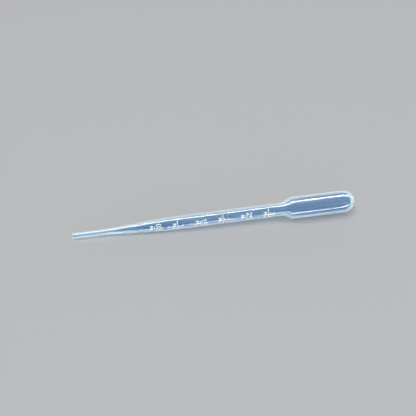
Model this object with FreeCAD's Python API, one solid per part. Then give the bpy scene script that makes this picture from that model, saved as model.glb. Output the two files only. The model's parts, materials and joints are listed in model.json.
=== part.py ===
"""A graduated 3 ml dropper, blow moulded in one piece from low-density polyethylene.

One thin-walled tube: a straight drawn tip, a long taper, a straight stem with raised
graduation bars, a conical shoulder and a squeeze bulb closed by a round dome. A fine
seam, left where the two halves of the mould met, runs along both sides and over the dome.

The dropper lies as it comes to rest: the shoulder edge of the bulb and the start of the
stem touch the ground at Z = 0, and the seam keeps it from rolling on. +X points from the tip
towards the bulb, and the origin is on the ground under the middle. Sizes are in mm.
"""
import FreeCAD
import Part
import math
import os
from collections import namedtuple

# Lengths along the axis, in order from the mouth of the tip.
flare_length = 3.4
tip_length = 20.4          # the whole straight tip, with the flare at its mouth
taper_length = 32.8
stem_length = 69.3
shoulder_length = 4.6
bulb_length = 30.6         # from the shoulder to the start of the dome

# Outside diameters. The dome is a half sphere as wide as the end of the bulb.
mouth_diameter = 3.35
tip_diameter = 3.3
stem_diameter = 7.45
bulb_diameter = 12.7
bulb_end_diameter = 12.6

# Walls, measured square to the outer surface.
tip_wall = 0.35
stem_wall = 0.26
bulb_wall = 0.35
dome_wall = 0.45           # at the top of the dome

# Radii of the bends in the outer surface.
flare_rounding = 10.0
taper_rounding = 35.0
shoulder_rounding = 1.0

# Seam left by the joint of the mould's halves.
seam_width = 0.22
seam_height = 0.03

# Graduation bars: long at each whole millilitre, short at each half.
bars_per_ml = 2
bar_count = 6
bar_width = 0.5
bar_height = 0.18
bar_draft_deg = 20.0
bar_root = 0.12            # how deep the foot of a bar is set into the wall
long_bar_half_angle_deg = 50.0
short_bar_half_angle_deg = 20.0

overrun = 1.0              # how far the cavity's cutter runs out of the mouth
MM3_PER_ML = 1000.0
FULL_TURN_DEG = 360.0
SMALLEST_BEND = 1e-6
ORIGIN = FreeCAD.Vector(0, 0, 0)
ALONG = FreeCAD.Vector(1, 0, 0)
ACROSS = FreeCAD.Vector(0, 1, 0)

Corner = namedtuple("Corner", "along radius wall rounding")


def outside_corners():
    """Corners of the outer surface, from the mouth of the tip to the start of the dome."""
    taper_end = tip_length + taper_length
    stem_end = taper_end + stem_length
    shoulder_end = stem_end + shoulder_length
    bulb_end = shoulder_end + bulb_length
    return [
        Corner(0.0, mouth_diameter / 2, tip_wall, 0.0),
        Corner(flare_length, tip_diameter / 2, tip_wall, flare_rounding),
        Corner(tip_length, tip_diameter / 2, tip_wall, taper_rounding),
        Corner(taper_end, stem_diameter / 2, stem_wall, taper_rounding),
        Corner(stem_end, stem_diameter / 2, stem_wall, shoulder_rounding),
        Corner(shoulder_end, bulb_diameter / 2, bulb_wall, shoulder_rounding),
        Corner(bulb_end, bulb_end_diameter / 2, bulb_wall, 0.0),
    ]


def slope(start, end):
    """Angle between the axis and the straight line from one corner to the next."""
    return math.atan2(end.radius - start.radius, end.along - start.along)


def inset(corners, depths):
    """Corners of the surface that runs these depths inside another one.

    Each middle corner moves along the line that halves its angle, and the two ends move
    straight towards the axis. A hollow bend gets a larger radius with depth, and a
    bulging bend a smaller one. A negative depth gives a surface outside the first.
    """
    first, last = corners[0], corners[-1]
    moved = [first._replace(radius=first.radius - depths[0])]
    for before, corner, after, depth in zip(corners, corners[1:], corners[2:], depths[1:]):
        turn = slope(corner, after) - slope(before, corner)
        halfway = slope(before, corner) + turn / 2
        step = depth / math.cos(turn / 2)
        growth = depth if turn > 0 else -depth
        moved.append(corner._replace(
            along=corner.along + step * math.sin(halfway),
            radius=corner.radius - step * math.cos(halfway),
            rounding=max(0.0, corner.rounding + growth)))
    moved.append(last._replace(radius=last.radius - depths[-1]))
    return moved


def cavity_corners():
    """Corners of the inner surface. The bore is straight, so it has no flare."""
    corners = outside_corners()[1:]
    inner = inset(corners, [corner.wall for corner in corners])
    inner[0] = inner[0]._replace(along=0.0)
    inner[-1] = inner[-1]._replace(along=inner[-1].along + bulb_wall - dome_wall)
    return inner


def rounded_edges(corners):
    """Straight lines from corner to corner, with a tangent arc at each rounded one."""
    points = [FreeCAD.Vector(corner.along, corner.radius, 0) for corner in corners]
    edges = []
    line_start = points[0]
    for number in range(1, len(corners) - 1):
        arrive = (points[number] - points[number - 1]).normalize()
        leave = (points[number + 1] - points[number]).normalize()
        half_turn = arrive.getAngle(leave) / 2
        rounding = corners[number].rounding
        if rounding * half_turn < SMALLEST_BEND:
            edges.append(Part.LineSegment(line_start, points[number]).toShape())
            line_start = points[number]
            continue
        setback = rounding * math.tan(half_turn)
        arc_start = points[number] - arrive * setback
        arc_end = points[number] + leave * setback
        inward = (leave - arrive).normalize()
        arc_middle = points[number] + inward * rounding * (1 / math.cos(half_turn) - 1)
        edges.append(Part.LineSegment(line_start, arc_start).toShape())
        edges.append(Part.Arc(arc_start, arc_middle, arc_end).toShape())
        line_start = arc_end
    edges.append(Part.LineSegment(line_start, points[-1]).toShape())
    return edges


def turned_solid(corners):
    """Solid of revolution of a rounded profile, closed by a half sphere at its far end."""
    mouth, dome_start = corners[0], corners[-1]
    dome = dome_start.radius
    diagonal = math.sqrt(0.5)
    edges = rounded_edges(corners)
    dome_edge = FreeCAD.Vector(dome_start.along, dome, 0)
    dome_side = FreeCAD.Vector(dome_start.along + dome * diagonal, dome * diagonal, 0)
    apex = FreeCAD.Vector(dome_start.along + dome, 0, 0)
    foot = FreeCAD.Vector(mouth.along, 0, 0)
    edges.append(Part.Arc(dome_edge, dome_side, apex).toShape())
    edges.append(Part.LineSegment(apex, foot).toShape())
    edges.append(Part.LineSegment(foot, FreeCAD.Vector(mouth.along, mouth.radius, 0)).toShape())
    return Part.Face(Part.Wire(edges)).revolve(ORIGIN, ALONG, FULL_TURN_DEG)


def mould_seam(corners):
    """A thin slice of the outer form, grown by the seam's height, through the axis."""
    grown = inset(corners, [-seam_height] * len(corners))
    length = grown[-1].along + grown[-1].radius
    reach = max(corner.radius for corner in grown)
    slice_corner = FreeCAD.Vector(0, -seam_width / 2, -reach)
    mould_slice = Part.makeBox(length, seam_width, 2 * reach, slice_corner)
    return turned_solid(grown).common(mould_slice)


def place_of_volume(volume):
    """Distance from the mouth up to which the cavity holds this volume."""
    corners = cavity_corners()
    for start, end in zip(corners, corners[1:]):
        widening = (end.radius - start.radius) / (end.along - start.along)
        content = (math.pi / 3 * (end.along - start.along)
                   * (start.radius ** 2 + start.radius * end.radius + end.radius ** 2))
        if volume < content and widening:
            level = math.cbrt(start.radius ** 3 + 3 * widening * volume / math.pi)
            return start.along + (level - start.radius) / widening
        if volume < content:
            return start.along + volume / (math.pi * start.radius ** 2)
        volume -= content
    return corners[-1].along


def outer_radius(along):
    """Radius of the outer surface at a distance from the mouth."""
    for start, end in zip(outside_corners(), outside_corners()[1:]):
        if along <= end.along:
            break
    return start.radius + (along - start.along) * math.tan(slope(start, end))


def graduation_bar(along, half_angle_deg):
    """A tapered rib that follows the tube's surface on both sides of the label line."""
    foot = bar_width / 2
    crest = foot - bar_height * math.tan(math.radians(bar_draft_deg))
    section = [(-foot, -bar_root), (foot, -bar_root), (foot, 0.0), (crest, bar_height),
               (-crest, bar_height), (-foot, 0.0), (-foot, -bar_root)]
    outline = Part.makePolygon([
        FreeCAD.Vector(along + step, -outer_radius(along + step) - rise, 0)
        for step, rise in section])
    face = Part.Face(outline)
    face.rotate(ORIGIN, ALONG, -half_angle_deg)
    return face.revolve(ORIGIN, ALONG, 2 * half_angle_deg)


def bar_place(number):
    """Distance of a bar from the mouth, counted from the tip.

    The first millilitre is placed by all that the dropper holds up to it. The bars are
    spaced evenly, by the length of straight stem that holds half a millilitre.
    """
    bore = stem_diameter / 2 - stem_wall
    step = MM3_PER_ML / bars_per_ml / (math.pi * bore ** 2)
    return place_of_volume(MM3_PER_ML) + (number - bars_per_ml) * step


def graduation_bars():
    """One bar for each half millilitre."""
    bars = []
    for number in range(1, bar_count + 1):
        whole = number % bars_per_ml == 0
        half_angle = long_bar_half_angle_deg if whole else short_bar_half_angle_deg
        bars.append(graduation_bar(bar_place(number), half_angle))
    return bars


def dropper():
    """The moulding along the X axis, with the mouth at 0 and the label towards -Y."""
    outside = outside_corners()
    form = turned_solid(outside).fuse([mould_seam(outside)] + graduation_bars())
    cavity = cavity_corners()
    cavity[0] = cavity[0]._replace(along=-overrun)
    return form.cut(turned_solid(cavity)).removeSplitter()


def resting_tilt():
    """Slope of the axis on flat ground, and the middle and radius of the bulb's low edge.

    The ground touches the rounded edge of the bulb. In front it touches the rounded
    start of the stem, or the mouth where that is met first. Each bend bulges, so the
    ground is a common tangent of two circles around the middles of the bends.
    """
    outside = outside_corners()
    middles = inset(outside, [corner.rounding for corner in outside])
    mouth, _, _, stem_start, _, bulb_edge, _ = middles
    slopes = []
    for front, bend in ((mouth, 0.0), (stem_start, taper_rounding)):
        distance = math.hypot(bulb_edge.along - front.along, bulb_edge.radius - front.radius)
        slopes.append(slope(front, bulb_edge) + math.asin((shoulder_rounding - bend) / distance))
    return min(slopes), bulb_edge


def seam_roll():
    """Angle from the bottom of the stem to the seam, when the seam touches the ground."""
    bottom = stem_diameter / 2
    crest = bottom + seam_height
    return math.acos(bottom / crest) + math.asin(seam_width / 2 / crest)


def lay_down(solid):
    """Turn the label side up off the seam, tilt the axis and centre the solid."""
    tilt, bulb_edge = resting_tilt()
    dome_start = outside_corners()[-1]
    rear = dome_start.along * math.cos(tilt) + dome_start.radius + seam_height
    front = -mouth_diameter / 2 * math.sin(tilt)
    height = (shoulder_rounding + bulb_edge.radius * math.cos(tilt)
              - bulb_edge.along * math.sin(tilt))
    solid.rotate(ORIGIN, ALONG, -math.degrees(seam_roll()))
    solid.rotate(ORIGIN, ACROSS, -math.degrees(tilt))
    solid.translate(FreeCAD.Vector(-(rear + front) / 2, 0, height))
    return solid


os.makedirs("parts", exist_ok=True)
dropper_pipette = lay_down(dropper())
dropper_pipette.exportStep("parts/dropper_pipette.step")
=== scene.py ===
"""A graduated 3 ml dropper, blow moulded from low-density polyethylene, on a pale floor."""
import json
import math

import bpy
import numpy as np
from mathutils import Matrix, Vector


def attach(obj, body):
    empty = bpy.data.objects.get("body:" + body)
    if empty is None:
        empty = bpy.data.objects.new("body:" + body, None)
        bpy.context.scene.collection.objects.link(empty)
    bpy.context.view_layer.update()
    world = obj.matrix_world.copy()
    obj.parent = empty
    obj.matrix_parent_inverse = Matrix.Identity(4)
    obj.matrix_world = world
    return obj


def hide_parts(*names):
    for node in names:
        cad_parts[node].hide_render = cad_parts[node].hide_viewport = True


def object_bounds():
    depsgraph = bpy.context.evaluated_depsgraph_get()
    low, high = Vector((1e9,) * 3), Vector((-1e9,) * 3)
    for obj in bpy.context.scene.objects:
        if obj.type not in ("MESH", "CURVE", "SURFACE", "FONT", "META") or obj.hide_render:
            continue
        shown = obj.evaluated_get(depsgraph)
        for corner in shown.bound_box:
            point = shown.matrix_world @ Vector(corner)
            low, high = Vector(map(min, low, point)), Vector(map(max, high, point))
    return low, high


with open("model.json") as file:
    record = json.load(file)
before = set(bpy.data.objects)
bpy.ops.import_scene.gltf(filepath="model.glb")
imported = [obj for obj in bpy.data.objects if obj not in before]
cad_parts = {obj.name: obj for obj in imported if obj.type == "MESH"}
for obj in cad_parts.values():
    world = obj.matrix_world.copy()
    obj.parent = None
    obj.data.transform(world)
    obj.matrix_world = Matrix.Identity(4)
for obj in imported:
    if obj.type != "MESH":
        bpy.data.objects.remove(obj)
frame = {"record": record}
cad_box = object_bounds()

# ---- Dropper: form of the moulding ----------------------------------------------------
# The dropper is one tube of soft polyethylene, blown out against a two-part mould. Its
# drawn tip keeps a thick wall, and the stem, blown out further, has a thinner one.
# Lengths are in mm along the axis from the mouth of the tip.
MM = 0.001
mounts = {mount["name"]: mount for mount in frame["record"]["mounts"]}
bore_radius = mounts["tip_bore"]["dims"]["r_mm"]
tip_radius = mounts["tip_outside"]["dims"]["r_mm"]
stem_radius = mounts["stem_outside"]["dims"]["r_mm"]
bulb_radius = (cad_box[1].y - cad_box[0].y) / 2 / MM
mouth_radius = 1.675
bulb_end_radius = 6.3

flare_length = 3.4
tip_length = 20.4          # the whole straight tip, with the flare at its mouth
taper_length = 32.8
stem_length = 69.3
shoulder_length = 4.6
bulb_length = 30.6         # from the shoulder to the start of the dome

tip_wall = tip_radius - bore_radius
stem_wall = 0.26
bulb_wall = 0.35
dome_wall = 0.45           # at the top of the dome

flare_bend = 10.0          # radii of the bends in the outer surface
taper_bend = 35.0
shoulder_bend = 1.0
rim_bend = 0.06            # the cut edge of the mouth is barely broken


def profile(steps, radii):
    """Corners of a turned form as rows of (place along the axis, radius), from its lengths."""
    return np.column_stack([np.concatenate([[0.0], np.cumsum(steps)]), radii])


def inset(corners, depths):
    """Corners of the surface lying these depths below another one.

    A middle corner moves along the line that halves its angle, by the depth over the
    cosine of half the turn, and the two ends move straight towards the axis. The second
    result is 1 at each hollow middle corner and -1 at each bulging one.
    """
    slopes = np.arctan2(np.diff(corners[:, 1]), np.diff(corners[:, 0]))
    turn = np.diff(slopes)
    halfway = slopes[:-1] + turn / 2
    step = depths[1:-1] / np.cos(turn / 2)
    moved = corners.copy()
    moved[1:-1] += np.column_stack([step * np.sin(halfway), -step * np.cos(halfway)])
    moved[[0, -1], 1] -= depths[[0, -1]]
    return moved, np.sign(turn)


def bend(before, corner, after, radius, count):
    """Points of the arc that touches both straight lines at a corner.

    It starts a setback of radius times the tangent of half the turn before the corner.
    After turning by an angle it has gone radius * sin(angle) along the first line and
    radius * (1 - cos(angle)) towards the side that the corner turns to.
    """
    arrive = (corner - before) / np.hypot(*(corner - before))
    leave = (after - corner) / np.hypot(*(after - corner))
    turn = math.atan2(arrive[0] * leave[1] - arrive[1] * leave[0], arrive @ leave)
    inwards = np.array([-arrive[1], arrive[0]]) * math.copysign(1, turn)
    angle = np.linspace(0, abs(turn), count)[:, None]
    start = corner - arrive * radius * math.tan(abs(turn) / 2)
    return start + radius * (np.sin(angle) * arrive + (1 - np.cos(angle)) * inwards)


def rounded(corners, bends, count):
    """The line through the corners, with an arc of its own radius at each middle one."""
    arcs = [bend(*corners[i:i + 3], bends[i], count) if bends[i] else corners[i + 1:i + 2]
            for i in range(len(corners) - 2)]
    return np.vstack([corners[:1], *arcs, corners[-1:]])


outer_corners = profile(
    [flare_length, tip_length - flare_length, taper_length, stem_length, shoulder_length,
     bulb_length],
    [mouth_radius, tip_radius, tip_radius, stem_radius, stem_radius, bulb_radius,
     bulb_end_radius])
walls = np.array([tip_wall, tip_wall, tip_wall, stem_wall, stem_wall, bulb_wall, bulb_wall])
bends = np.array([flare_bend, taper_bend, taper_bend, shoulder_bend, shoulder_bend])
inner_corners, turning = inset(outer_corners[1:], walls[1:])
inner_corners[0, 0] = 0.0
inner_corners[-1, 0] += bulb_wall - dome_wall
inner_bends = np.maximum(0, bends[1:] + turning * walls[2:-1])

# ---- Dropper: parting line, graduation bars and numerals ------------------------------
# Both halves of the mould leave a fine ridge where they met. One half is engraved, so
# bars and numerals stand up from the wall, with tapered sides that let the mould go.
seam_width = 0.22
seam_height = 0.03
seam_slope = 0.02          # width of the slope on each side of the ridge
bar_width = 0.5
bar_height = 0.18
bar_draft = math.radians(20)
bar_side = bar_height * math.tan(bar_draft)    # width of a bar's sloping side
long_bar_half_angle = math.radians(50)
short_bar_half_angle = math.radians(20)
mark_height = 0.13         # how far the numerals stand up
mark_stroke = 0.48         # width of their strokes
mark_slope = 0.11          # width of the slope round a stroke
digit_height = 3.1
unit_height = 2.1
mark_gap = 0.45            # between a bar and the numerals on both sides of it
letter_gap = 0.26          # as a share of the height of the numerals
volumes = np.arange(1, 7) * 0.5
fill_step = 0.01           # height of the layers in which the content is added up
MM3_PER_ML = 1000.0

# Strokes of each sign on a grid one unit tall: lines as their two ends, and arcs as
# middle, radius, first angle and sweep. The number before them is the sign's width.
SIGNS = {
    "0": (0.56, [(0, 0.28, 0, 0.72), (0.56, 0.28, 0.56, 0.72)],
          [(0.28, 0.72, 0.28, 0, 180), (0.28, 0.28, 0.28, 180, 180)]),
    "1": (0.26, [(0.26, 0, 0.26, 1), (0.26, 1, 0, 0.76)], []),
    "2": (0.58, [(0.515, 0.54, 0, 0), (0, 0, 0.58, 0)], [(0.29, 0.71, 0.285, -37, 212)]),
    "3": (0.54, [], [(0.27, 0.76, 0.24, -90, 240), (0.27, 0.26, 0.26, -150, 240)]),
    "5": (0.58, [(0.08, 1, 0.54, 1), (0.08, 1, 0.05, 0.54)],
          [(0.27, 0.31, 0.31, -145, 280)]),
    ".": (0.0, [(0, 0, 0, 0.01)], []),
    "M": (0.78, [(0, 0, 0, 1), (0, 1, 0.39, 0.3), (0.39, 0.3, 0.78, 1), (0.78, 1, 0.78, 0)],
          []),
    "L": (0.5, [(0, 1, 0, 0), (0, 0, 0.5, 0)], []),
}


def from_line(x, y, line):
    """Distance to a straight stroke, measured to the nearest point between its ends."""
    x0, y0, x1, y1 = line
    dx, dy = x1 - x0, y1 - y0
    share = np.clip(((x - x0) * dx + (y - y0) * dy) / (dx * dx + dy * dy), 0, 1)
    return np.hypot(x - x0 - share * dx, y - y0 - share * dy)


def from_arc(x, y, arc):
    """Distance to a round stroke: to its circle inside the sweep, else to its nearer end."""
    cx, cy, radius, first, sweep = arc
    first, sweep = math.radians(first), math.radians(sweep)
    inside = (np.arctan2(y - cy, x - cx) - first) % (2 * math.pi) <= sweep
    ends = [np.hypot(x - cx - radius * math.cos(a), y - cy - radius * math.sin(a))
            for a in (first, first + sweep)]
    return np.where(inside, abs(np.hypot(x - cx, y - cy) - radius), np.minimum(*ends))


def from_text(text, across, upward, height):
    """Distance in mm from the nearest middle line of a stroke of a centred word.

    across runs in the reading direction and upward from the word's foot to its head. The
    grid of the signs is as tall as the word less one stroke, and starts half a stroke up.
    """
    size = height - mark_stroke
    x, y = across / size, (upward - mark_stroke / 2) / size
    place = -(sum(SIGNS[sign][0] for sign in text) + letter_gap * (len(text) - 1)) / 2
    nearest = np.full(np.shape(x), np.inf)
    for sign in text:
        width, lines, arcs = SIGNS[sign]
        for line in lines:
            nearest = np.minimum(nearest, from_line(x - place, y, line))
        for arc in arcs:
            nearest = np.minimum(nearest, from_arc(x - place, y, arc))
        place += width + letter_gap
    return nearest * size


def ramp(inside, width):
    """0 outside an edge and 1 inside it, rising evenly over a slope of this width."""
    return np.clip(inside / width, 0, 1)


# The first millilitre is placed by all that the dropper holds up to it, and the bars are
# spaced evenly, by the length of straight stem that holds half a millilitre.
shoulder_start = tip_length + taper_length + stem_length
fine = np.arange(0, shoulder_start, fill_step)
filled = np.cumsum(math.pi * np.interp(fine, *inner_corners.T) ** 2 * fill_step)
first_ml = np.interp(MM3_PER_ML, filled, fine)
ml_length = MM3_PER_ML / (math.pi * (stem_radius - stem_wall) ** 2)
bar_places = first_ml + (volumes - 1) * ml_length


def marks(along, angle, radius):
    """How far bars and numerals stand up: by the highest of them at each point.

    Each rises over its slope from nothing at its edge to its full height inside. Points
    on the wall are given by their place along the axis, their angle and their radius.
    """
    across = radius * angle
    height = np.zeros(np.shape(across))
    for volume, place in zip(volumes, bar_places):
        offset = along - place
        half_angle = long_bar_half_angle if volume % 1 == 0 else short_bar_half_angle
        edge = np.minimum(bar_width / 2 - abs(offset), radius * (half_angle - abs(angle)))
        height = np.maximum(height, bar_height * ramp(edge, bar_side))
        foot = bar_width / 2 + mark_gap
        for text, tall, upward in ((f"{volume:g}", digit_height, offset - foot),
                                   ("ML", unit_height, offset + foot + unit_height)):
            near = mark_stroke / 2 - from_text(text, across, upward, tall)
            height = np.maximum(height, mark_height * ramp(near + mark_slope / 2, mark_slope))
    return height


def seam(angle, radius):
    """Height of the parting ridge, full near the plane in which the mould's halves met."""
    return seam_height * ramp(seam_width / 2 - abs(radius * np.cos(angle)), seam_slope)


# ---- Dropper: skin --------------------------------------------------------------------
# The whole surface is one closed profile turned round the axis: from the top of the dome
# along the outside to the mouth, over the cut rim and back up the inside of the wall.
fine_step = 0.095          # between the rows of points under the numerals
coarse_step = 2.5          # between those of the plain wall
closest_rows = 0.02        # places along the axis are rounded to this
label_margin = 0.3         # how far the close rows go on beyond the numerals
dome_count = 18            # points on the curves of the dome, the bends and the rim
bend_count = 7
rim_count = 4


def rows_between(line, extra):
    """A line with rows at its own points and at others, all rounded to the closest spacing."""
    places = np.concatenate([line[:, 0], extra])
    places = places[(places >= line[0, 0]) & (places <= line[-1, 0])]
    places = np.unique(np.round(np.sort(places) / closest_rows)) * closest_rows
    return np.column_stack([places, np.interp(places, *line.T)])


def dome(start, radius):
    """Quarter circle from the end of the bulb to the top of the dome, without its ends."""
    angle = np.linspace(0, math.pi / 2, dome_count)[1:-1]
    return np.column_stack([start + radius * np.sin(angle), radius * np.cos(angle)])


outer_line = rounded(outer_corners, bends, bend_count)
inner_line = rounded(inner_corners, inner_bends, bend_count)
label_rows = np.concatenate([
    np.arange(place - bar_width / 2 - mark_gap - unit_height - label_margin,
              place + bar_width / 2 + mark_gap + digit_height + label_margin, fine_step)
    for place in bar_places])
bar_rows = np.concatenate([bar_places + edge for edge in (
    -bar_width / 2, bar_side - bar_width / 2, bar_width / 2 - bar_side, bar_width / 2)])
even_rows = np.arange(0, outer_corners[-1, 0], coarse_step)
outer = rows_between(outer_line, np.concatenate([label_rows, bar_rows, even_rows]))
inner = rows_between(inner_line, even_rows)
outer_dome = dome(outer_corners[-1, 0], bulb_end_radius)
inner_dome = dome(inner_corners[-1, 0], inner_corners[-1, 1])
rim_angle = np.linspace(0, math.pi / 2, rim_count)
rim_place = rim_bend * (1 - np.cos(rim_angle))
rim_cut = rim_bend * (1 - np.sin(rim_angle))
outer_rim = np.column_stack([rim_place, mouth_radius - rim_cut])[::-1]
inner_rim = np.column_stack([rim_place, bore_radius + rim_cut])
outer = outer[outer[:, 0] > 2 * rim_bend]
inner = inner[inner[:, 0] > 2 * rim_bend]
rows = np.vstack([outer_dome[::-1], outer[::-1], outer_rim, inner_rim, inner, inner_dome])
outside_rows = len(outer_dome) + len(outer)

# Angles are measured from the label line in the reading direction. They are close
# together under the numerals, and at both seams they keep to the ridge's own width.
label_angles = np.radians(np.linspace(-52, 52, 73))
side_angles = np.radians([59, 66, 73])
back_angles = np.radians(np.arange(108, 253, 6))
ridge_reach = 0.25         # from the middle of the ridge to the smooth wall beside it
ridge = np.array([-ridge_reach, -seam_width / 2, seam_slope - seam_width / 2, 0,
                  seam_width / 2 - seam_slope, seam_width / 2, ridge_reach])
widest_ridge = math.radians(9)     # half the angle that it takes up near the dome's top
first_seam, second_seam = math.pi / 2, math.pi * 1.5
base = np.concatenate([
    label_angles, side_angles, np.full(len(ridge), first_seam), back_angles,
    np.full(len(ridge), second_seam), 2 * math.pi - side_angles[::-1]])
shift = np.zeros(len(base))
shift[base == first_seam] = ridge
shift[base == second_seam] = ridge
along = rows[:, :1] + 0 * base
radius = rows[:, 1:] + 0 * base
angle = base + np.arcsin(shift / np.maximum(radius, ridge_reach / math.sin(widest_ridge)))
label = slice(0, len(label_angles))
mark_rise = np.zeros(angle.shape)
mark_rise[:outside_rows, label] = marks(
    along[:outside_rows, label], angle[:outside_rows, label], radius[:outside_rows, label])
radius[:outside_rows] += np.maximum(mark_rise, seam(angle, radius))[:outside_rows]
mark = ramp(mark_rise, mark_height / 2)    # 1 from half the height of the numerals up

# The dropper lies on the shoulder edge of its bulb and the start of its stem. It is
# rolled until the lower seam touches the ground, which turns the numerals a little up.
axis = -np.array(mounts["tip_bore"]["axis"])
mouth = (np.array(mounts["tip_bore"]["pos_m"]) / MM
         - axis * mounts["tip_bore"]["dims"]["length_mm"] / 2)
side = np.array([0.0, -1.0, 0.0])
down = np.cross(axis, side)
roll = (math.acos(stem_radius / (stem_radius + seam_height))
        + math.asin(seam_width / 2 / (stem_radius + seam_height)))
facing = side * math.cos(roll) - down * math.sin(roll)
reading = down * math.cos(roll) + side * math.sin(roll)


def turned(along, radius, angle):
    """Points from the mouth: along the axis, and out from it by the radius.

    The way out is facing * cos(angle) + reading * sin(angle), so it starts at the label
    line and turns in the reading direction.
    """
    out = np.cos(angle)[..., None] * facing + np.sin(angle)[..., None] * reading
    return mouth + along[..., None] * axis + radius[..., None] * out


grid = turned(along, radius, angle)
poles = turned(np.array([outer_corners[-1, 0] + bulb_end_radius,
                         inner_corners[-1, 0] + inner_corners[-1, 1]]),
               np.zeros(2), np.zeros(2))
row_count, column_count = angle.shape
points = np.vstack([grid.reshape(-1, 3), poles]) * MM
number = np.arange(row_count * column_count).reshape(row_count, column_count)
beside = np.roll(number, -1, axis=1)
quads = np.stack([number[:-1], number[1:], beside[1:], beside[:-1]], axis=-1).reshape(-1, 4)
first_pole, last_pole = number.size, number.size + 1
caps = np.vstack([
    np.column_stack([np.full(column_count, first_pole), number[0], beside[0]]),
    np.column_stack([np.full(column_count, last_pole), beside[-1], number[-1]])])
mesh = bpy.data.meshes.new("dropper")
mesh.from_pydata(points, [], quads.tolist() + caps.tolist())
mesh.shade_smooth()

# The plastic is milkiest where it is thick and cooled slowly: in the tip, and less so at
# the shoulder and over the dome. Each line gives a place along the axis, and the optical
# depth of half the wall there.
bulb_start = shoulder_start + shoulder_length
bulb_end = bulb_start + bulb_length
shoulder_fade = 4.0        # length over which the shoulder's milkiness fades in the bulb
milk_depths = [
    (tip_length, 0.37),
    (tip_length + taper_length, 0.24),
    (shoulder_start, 0.24),
    (bulb_start, 0.23),
    (bulb_start + shoulder_fade, 0.2),
    (bulb_end, 0.2),
    (bulb_end + bulb_end_radius, 0.28),
]
row_milk = np.interp(rows[:, 0], *zip(*milk_depths))
row_inside = np.where(np.arange(row_count) < outside_rows + len(outer_rim), 0.0, 1.0)
for name, values in (
        ("mark", np.append(mark, [0, 0])),
        ("milk", np.append(np.repeat(row_milk, column_count), row_milk[[0, -1]])),
        ("inside", np.append(np.repeat(row_inside, column_count), [0, 1]))):
    mesh.attributes.new(name, "FLOAT", "POINT").data.foreach_set("value", values)
dropper = bpy.data.objects.new("dropper", mesh)
bpy.context.scene.collection.objects.link(dropper)
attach(dropper, "root")
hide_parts("dropper_pipette")

# ---- Dropper: natural polyethylene ----------------------------------------------------
# Undyed low-density polyethylene is milky: a thin wall has a cool cast, and one that is
# thick or seen at a slant turns white. The outside takes the grain and fine rings of the
# turned mould. The inside only touches air as it is blown, and is glossier.
thin_colour = (0.02, 0.22, 0.48, 1)
thick_colour = (0.90, 1.0, 1.0, 1)
mark_colour = (0.95, 0.98, 1.0, 1)
clear_colour = (0.96, 0.98, 1.0, 1)
slant_power = -1.5         # how fast the way through a wall grows as it turns away
steepest = 0.2             # cosine past which it grows no longer
white_from = 0.27          # optical depth at which the wall starts to turn white
white_to = 0.56            # and at which it is white
mark_opacity = 0.95
wall_glow = 0.5            # share of the scattered light that passes on through the wall
mark_glow = 0.15
streak_density = (12, 900, 900)    # along and across the tube, per metre
streak_detail = 3.0
streak_fineness = 0.5      # how strong each finer layer of streaks is
streak_contrast = 3.0
streak_tilt = 0.05         # strength of the ripples that the streaks leave in the skin
streak_depth = 0.0002
ring_smear = -0.6          # gloss spreads along the tube, across the rings of the mould
outside_roughness = 0.29
inside_roughness = 0.26
outside_gloss = 0.006      # mirrored share where the skin is seen head on
inside_gloss = 0.045
grazing_power = 5.0        # how fast it rises towards grazing sight

plastic = bpy.data.materials.new("natural_polyethylene")
plastic.use_nodes = True
nodes, links = plastic.node_tree.nodes, plastic.node_tree.links
nodes.clear()


def node(kind, *inputs, **settings):
    """A shader node with its inputs in order: each a value or a socket, or None to skip."""
    made = nodes.new("ShaderNode" + kind)
    for name, value in settings.items():
        setattr(made, name, value)
    for socket, value in zip(made.inputs, inputs):
        if isinstance(value, bpy.types.NodeSocket):
            links.new(value, socket)
        elif value is not None:
            socket.default_value = value
    return made


def maths(operation, *inputs):
    """The result of a Math node."""
    return node("Math", *inputs, operation=operation).outputs[0]


def blended(share, low, high):
    """A colour between two others. A Mix node takes colours on its sockets 6 and 7."""
    unused = [None] * 5
    return node("Mix", share, *unused, low, high, data_type="RGBA").outputs[2]


milk = node("Attribute", attribute_name="milk").outputs["Fac"]
marked = node("Attribute", attribute_name="mark").outputs["Fac"]
inside = node("Attribute", attribute_name="inside").outputs["Fac"]
place = node("TexCoord").outputs["Object"]
tilt = math.atan2(axis[2], axis[0])
stretched = node("Mapping", place, None, (0, tilt, 0), streak_density).outputs[0]
streaks = node("TexNoise", stretched, None, 1.0, streak_detail,
               streak_fineness).outputs["Fac"]
facing_away = node("LayerWeight", 0.5).outputs["Facing"]    # one less the cosine
squareness = maths("MAXIMUM", maths("SUBTRACT", 1.0, facing_away), steepest)
streaky = maths("MULTIPLY_ADD", streaks, streak_contrast, 1 - streak_contrast / 2)
slant = maths("POWER", squareness, slant_power)
depth = maths("MULTIPLY", milk, slant)
clear = maths("EXPONENT", maths("MULTIPLY", maths("MULTIPLY", depth, streaky), -1.0))
haze = maths("SUBTRACT", 1.0, clear)
opacity = maths("MAXIMUM", haze, maths("MULTIPLY", marked, mark_opacity))
whiteness = node("MapRange", depth, white_from, white_to, 0.0, 1.0,
                 interpolation_type="SMOOTHSTEP").outputs[0]
colour = blended(marked, blended(whiteness, thin_colour, thick_colour), mark_colour)
through = maths("MULTIPLY_ADD", marked, mark_glow - wall_glow, wall_glow)
scatter = node("MixShader", through, node("BsdfDiffuse", colour).outputs[0],
               node("BsdfTranslucent", colour).outputs[0]).outputs[0]
seen_through = node("BsdfTransparent", clear_colour).outputs[0]
body = node("MixShader", opacity, seen_through, scatter).outputs[0]
waviness = node("Bump", streak_tilt, streak_depth, None, streaks).outputs[0]
roughness = maths("MULTIPLY_ADD", inside, inside_roughness - outside_roughness,
                  outside_roughness)
lengthwise = node("CombineXYZ", *axis.tolist()).outputs[0]
gloss = node("BsdfGlossy", (1, 1, 1, 1), roughness, ring_smear, None, waviness,
             lengthwise).outputs[0]
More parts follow.
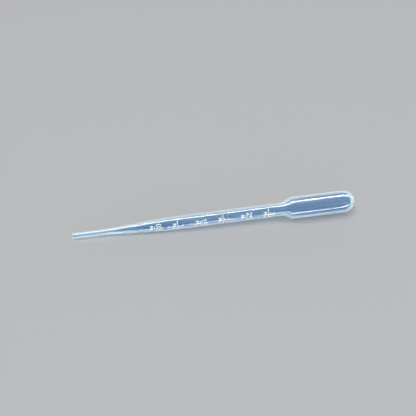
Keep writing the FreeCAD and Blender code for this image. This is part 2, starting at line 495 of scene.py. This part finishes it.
head_on = maths("MULTIPLY_ADD", inside, inside_gloss - outside_gloss, outside_gloss)
grazing = maths("POWER", facing_away, grazing_power)
mirrored = maths("MULTIPLY_ADD", grazing, maths("SUBTRACT", 1.0, head_on), head_on)
node("OutputMaterial", node("MixShader", mirrored, body, gloss).outputs[0])
mesh.materials.append(plastic)

# ---- Floor ----------------------------------------------------------------------------
# A sheet of pale card with a matt face lies flat under the dropper, and reaches well past
# it on all sides.
floor_colour = (0.50, 0.51, 0.52, 1)
floor_roughness = 0.9
floor_size = 3.0

floor_mesh = bpy.data.meshes.new("floor")
half = floor_size / 2
level = cad_box[0].z
floor_mesh.from_pydata([(-half, -half, level), (half, -half, level), (half, half, level),
                        (-half, half, level)], [], [(0, 1, 2, 3)])
floor = bpy.data.objects.new("floor", floor_mesh)
bpy.context.scene.collection.objects.link(floor)
sheet = bpy.data.materials.new("pale_sheet")
sheet.use_nodes = True
matt = sheet.node_tree.nodes["Principled BSDF"].inputs
matt["Base Color"].default_value = floor_colour
matt["Roughness"].default_value = floor_roughness
matt["Specular IOR Level"].default_value = 0.0
floor_mesh.materials.append(sheet)

# ---- Light ----------------------------------------------------------------------------
# A pale tent, brightest near the ground, stands round a wide softbox overhead. A narrow
# strip hangs along the dropper, a little behind it. It throws no shadow and is seen only
# as the bright lines in the plastic.
horizon_light = 2.8
zenith_light = 0.2
tent_height = 0.45         # sine of the height at which the tent has faded out
mirrored_tent = 0.35       # share of the tent's light that the gloss shows
backdrop_light = 0.5       # what the camera sees beyond the floor
softbox_size = (2.2, 2.2)
softbox_power = 34.0
softbox_elevation = math.radians(80)
softbox_distance = 2.0
strip_size = (1.4, 0.034)
strip_power = 18.0
strip_elevation = math.radians(106)
strip_distance = 0.4
strip_shift = 0.15         # towards the bulb

world = bpy.data.worlds.new("surround")
bpy.context.scene.world = world
world.use_nodes = True
nodes, links = world.node_tree.nodes, world.node_tree.links    # node() now adds to these
backdrop = nodes["Background"]
backdrop.inputs["Color"].default_value = (1, 1, 1, 1)
upward = node("SeparateXYZ", node("TexCoord").outputs["Generated"]).outputs["Z"]
tent = node("MapRange", upward, 0.0, tent_height, horizon_light, zenith_light).outputs[0]
rays = node("LightPath").outputs
dimmed = maths("MULTIPLY", tent, mirrored_tent)
lit = node("Mix", rays["Is Glossy Ray"], None, tent, dimmed).outputs[0]
links.new(node("Mix", rays["Is Camera Ray"], None, lit, backdrop_light).outputs[0],
          backdrop.inputs["Strength"])


def lamp(name, size, power, elevation, distance):
    """A rectangular lamp at an angle above the ground in front of the dropper, facing it."""
    light = bpy.data.lights.new(name, "AREA")
    light.shape = "RECTANGLE"
    light.size, light.size_y = size
    light.energy = power
    made = bpy.data.objects.new(name, light)
    made.location = (0, -distance * math.cos(elevation), distance * math.sin(elevation))
    made.rotation_euler = (math.pi / 2 - elevation, 0, 0)
    bpy.context.scene.collection.objects.link(made)
    return made


softbox = lamp("softbox", softbox_size, softbox_power, softbox_elevation, softbox_distance)
softbox.visible_glossy = False
strip = lamp("strip", strip_size, strip_power, strip_elevation, strip_distance)
strip.data.use_shadow = False
strip.location.x = strip_shift
strip.visible_diffuse = False
strip.visible_transmission = False

# ---- Camera ---------------------------------------------------------------------------
# It looks down at the label side from the front, a little from the tip's end, through a
# long lens.
camera_lens = 300
near_clip = 0.05
camera_azimuth = math.radians(-9.55)
camera_elevation = math.radians(36.5)
camera_distance = 1.9877
camera_aim = np.array([-0.00348, 0.0, 0.01232])
camera_data = bpy.data.cameras.new("camera")
camera_data.lens = camera_lens
camera_data.clip_start = near_clip
camera = bpy.data.objects.new("camera", camera_data)
back = np.array([math.sin(camera_azimuth) * math.cos(camera_elevation),
                 -math.cos(camera_azimuth) * math.cos(camera_elevation),
                 math.sin(camera_elevation)])
camera.location = camera_aim + back * camera_distance
camera.rotation_euler = (math.pi / 2 - camera_elevation, 0, camera_azimuth)
bpy.context.scene.collection.objects.link(camera)
bpy.context.scene.camera = camera
bpy.context.scene.view_settings.view_transform = "Standard"
